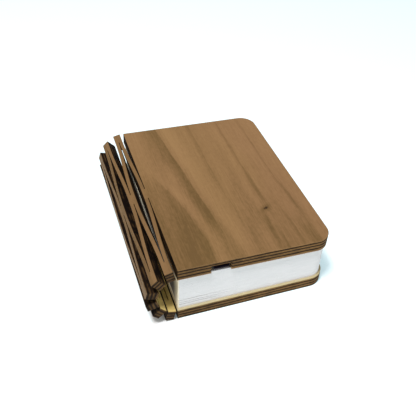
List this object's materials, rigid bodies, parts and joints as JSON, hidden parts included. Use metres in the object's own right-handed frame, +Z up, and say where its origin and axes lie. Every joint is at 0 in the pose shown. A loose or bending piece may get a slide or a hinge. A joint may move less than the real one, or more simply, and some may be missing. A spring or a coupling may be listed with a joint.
{
  "type": "folding book lamp",
  "caption": "Book-shaped table lamp, shown closed: walnut covers on a laser-cut lattice spine, with pleated white pages that fan out as it opens.",
  "frame": {"origin": "on the ground, under the middle of the closed book", "axes": "+X towards the fore-edge, +Y along the spine away from the charging socket, +Z up out of the top cover"},
  "size_m": [0.1027, 0.122, 0.0371],
  "materials": {
    "walnut_ply": "oiled walnut veneer on plywood, laser-cut edges browned",
    "pale_panel": "pale birch, bare",
    "page_sheet": "white spun-bonded sheet, matt, pleated",
    "magnet": "nickel plated",
    "cell_foil": "foil pouch, satin",
    "foam": "closed-cell foam tape",
    "circuit_green": "solder mask",
    "circuit_white": "white solder mask",
    "socket_steel": "drawn steel shell, darkened",
    "black_plastic": "moulded, matt",
    "led_yellow": "phosphor-filled resin",
    "opal": "opal diffuser film",
    "wire_sleeve": "silicone insulation"
  },
  "bodies": {
    "bottom_cover": {"bottom_board": "walnut_ply", "bottom_panel": "pale_panel", "bottom_magnet_front": "magnet", "bottom_magnet_back": "magnet", "trigger_magnet": "magnet", "bottom_end_pleat": "page_sheet", "strip_1": "walnut_ply"},
    "spine_1": {"end_link_1": "walnut_ply", "leaf_1": "page_sheet"},
    "spine_2": {"middle_link_1": "walnut_ply", "leaf_2": "page_sheet", "strip_2": "walnut_ply", "strip_3": "walnut_ply"},
    "spine_3": {"end_link_2": "walnut_ply", "leaf_3": "page_sheet"},
    "spine_4": {"middle_link_2": "walnut_ply", "leaf_4": "page_sheet", "strip_4": "walnut_ply", "strip_5": "walnut_ply"},
    "spine_5": {"end_link_3": "walnut_ply", "leaf_5": "page_sheet"},
    "spine_6": {"middle_link_3": "walnut_ply", "leaf_6": "page_sheet", "strip_6": "walnut_ply", "strip_7": "walnut_ply"},
    "spine_7": {"end_link_4": "walnut_ply", "leaf_7": "page_sheet"},
    "spine_8": {"middle_link_4": "walnut_ply", "leaf_8": "page_sheet", "strip_8": "walnut_ply", "strip_9": "walnut_ply"},
    "spine_9": {"end_link_5": "walnut_ply", "leaf_9": "page_sheet"},
    "spine_10": {"middle_link_5": "walnut_ply", "leaf_10": "page_sheet", "strip_10": "walnut_ply", "strip_11": "walnut_ply"},
    "spine_11": {"end_link_6": "walnut_ply", "leaf_11": "page_sheet"},
    "top_cover": {"top_board": "walnut_ply", "top_panel": "pale_panel", "top_magnet_front": "magnet", "top_magnet_back": "magnet", "battery": "cell_foil", "battery_pad": "foam", "circuit_board": "circuit_green", "socket_shell": "socket_steel", "socket_tongue": "black_plastic", "magnetic_sensor": "black_plastic", "battery_leads": "wire_sleeve", "light_leads": "wire_sleeve", "light_board": "circuit_white", "led_1": "led_yellow", "led_2": "led_yellow", "led_3": "led_yellow", "led_4": "led_yellow", "led_5": "led_yellow", "diffuser": "opal", "top_end_pleat": "page_sheet", "strip_12": "walnut_ply"}
  },
  "joints": [
    {"name": "bend_1", "type": "hinge", "parent": "bottom_cover", "child": "spine_1", "pos_m": [-0.03624, 0, 0.0032], "axis": [0, -1, 0], "range_deg": [0, 31.3], "deforming": ["strip_1"]},
    {"name": "bend_2", "type": "hinge", "parent": "spine_1", "child": "spine_2", "pos_m": [-0.0393, 0, 0.00403], "axis": [0, -1, 0], "range_deg": [0, 31.3], "deforming": ["strip_2"]},
    {"name": "bend_3", "type": "hinge", "parent": "spine_2", "child": "spine_3", "pos_m": [-0.04228, 0, 0.00576], "axis": [0, -1, 0], "range_deg": [0, 31.3], "deforming": ["strip_3"]},
    {"name": "bend_4", "type": "hinge", "parent": "spine_3", "child": "spine_4", "pos_m": [-0.04496, 0, 0.00848], "axis": [0, -1, 0], "range_deg": [0, 31.3], "deforming": ["strip_4"]},
    {"name": "bend_5", "type": "hinge", "parent": "spine_4", "child": "spine_5", "pos_m": [-0.04702, 0, 0.01211], "axis": [0, -1, 0], "range_deg": [0, 31.3], "deforming": ["strip_5"]},
    {"name": "bend_6", "type": "hinge", "parent": "spine_5", "child": "spine_6", "pos_m": [-0.04813, 0, 0.01642], "axis": [0, -1, 0], "range_deg": [0, 31.3], "deforming": ["strip_6"]},
    {"name": "bend_7", "type": "hinge", "parent": "spine_6", "child": "spine_7", "pos_m": [-0.04807, 0, 0.02096], "axis": [0, -1, 0], "range_deg": [0, 31.3], "deforming": ["strip_7"]},
    {"name": "bend_8", "type": "hinge", "parent": "spine_7", "child": "spine_8", "pos_m": [-0.04686, 0, 0.02523], "axis": [0, -1, 0], "range_deg": [0, 31.3], "deforming": ["strip_8"]},
    {"name": "bend_9", "type": "hinge", "parent": "spine_8", "child": "spine_9", "pos_m": [-0.04472, 0, 0.0288], "axis": [0, -1, 0], "range_deg": [0, 31.3], "deforming": ["strip_9"]},
    {"name": "bend_10", "type": "hinge", "parent": "spine_9", "child": "spine_10", "pos_m": [-0.04199, 0, 0.03143], "axis": [0, -1, 0], "range_deg": [0, 31.3], "deforming": ["strip_10"]},
    {"name": "bend_11", "type": "hinge", "parent": "spine_10", "child": "spine_11", "pos_m": [-0.03898, 0, 0.03308], "axis": [0, -1, 0], "range_deg": [0, 31.3], "deforming": ["strip_11"]},
    {"name": "bend_12", "type": "hinge", "parent": "spine_11", "child": "top_cover", "pos_m": [-0.0359, 0, 0.03383], "axis": [0, -1, 0], "range_deg": [0, 31.3], "deforming": ["strip_12"]}
  ],
  "couplings": [
    {"joint": "bend_1", "follows": "bend_12", "ratio": 1},
    {"joint": "bend_2", "follows": "bend_12", "ratio": 1},
    {"joint": "bend_3", "follows": "bend_12", "ratio": 1},
    {"joint": "bend_4", "follows": "bend_12", "ratio": 1},
    {"joint": "bend_5", "follows": "bend_12", "ratio": 1},
    {"joint": "bend_6", "follows": "bend_12", "ratio": 1},
    {"joint": "bend_7", "follows": "bend_12", "ratio": 1},
    {"joint": "bend_8", "follows": "bend_12", "ratio": 1},
    {"joint": "bend_9", "follows": "bend_12", "ratio": 1},
    {"joint": "bend_10", "follows": "bend_12", "ratio": 1},
    {"joint": "bend_11", "follows": "bend_12", "ratio": 1}
  ]
}
